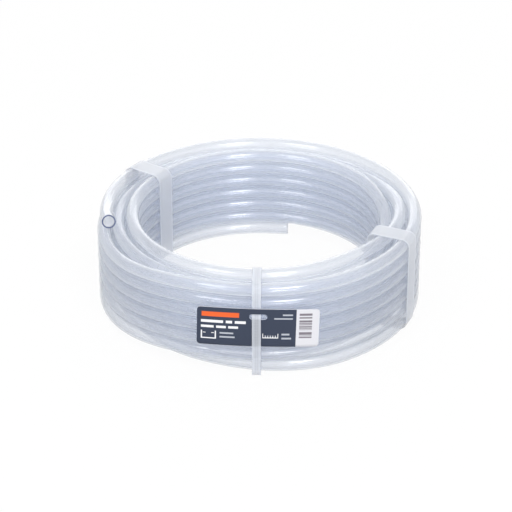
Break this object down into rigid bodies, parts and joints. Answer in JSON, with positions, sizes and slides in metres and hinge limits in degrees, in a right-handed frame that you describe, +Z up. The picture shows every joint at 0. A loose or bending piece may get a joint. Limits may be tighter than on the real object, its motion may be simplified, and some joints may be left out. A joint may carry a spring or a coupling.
{
  "type": "water level hose",
  "caption": "Clear flexible hose wound into a tight ring-shaped coil, held by welded strap ties, with a slotted card label on the front tie; filled with water it shows level between two points.",
  "frame": {"origin": "on the coil's axis, on the surface that the ties stand on", "axes": "+Z up along the coil's axis; -Y is the front, where the label hangs; +X is to the right seen from the front"},
  "size_m": [0.187, 0.1921, 0.0645],
  "materials": {
    "clear_pvc": "clear extruded soft PVC, glossy",
    "strap_pp": "embossed translucent polypropylene strap",
    "printed_card": "printed and coated card, satin"
  },
  "bodies": {
    "hose": {"hose": "clear_pvc"},
    "left_tie": {"left_tie": "strap_pp"},
    "right_tie": {"right_tie": "strap_pp"},
    "front_tie": {"front_tie": "strap_pp"},
    "label": {"label": "printed_card"}
  },
  "joints": [
    {"name": "left_tie_slide", "type": "hinge", "parent": "hose", "child": "left_tie", "pos_m": [0, 0, 0.03], "axis": [0, 0, 1], "range_deg": [-25, 12]},
    {"name": "right_tie_slide", "type": "hinge", "parent": "hose", "child": "right_tie", "pos_m": [0, 0, 0.03], "axis": [0, 0, 1], "range_deg": [-25, 25]},
    {"name": "front_tie_slide", "type": "hinge", "parent": "hose", "child": "front_tie", "pos_m": [0, 0, 0.03], "axis": [0, 0, 1], "range_deg": [-12, 12]},
    {"name": "label_shift", "type": "hinge", "parent": "front_tie", "child": "label", "pos_m": [0, 0, 0.03], "axis": [0, 0, 1], "range_deg": [-1.4, 0.2]}
  ]
}
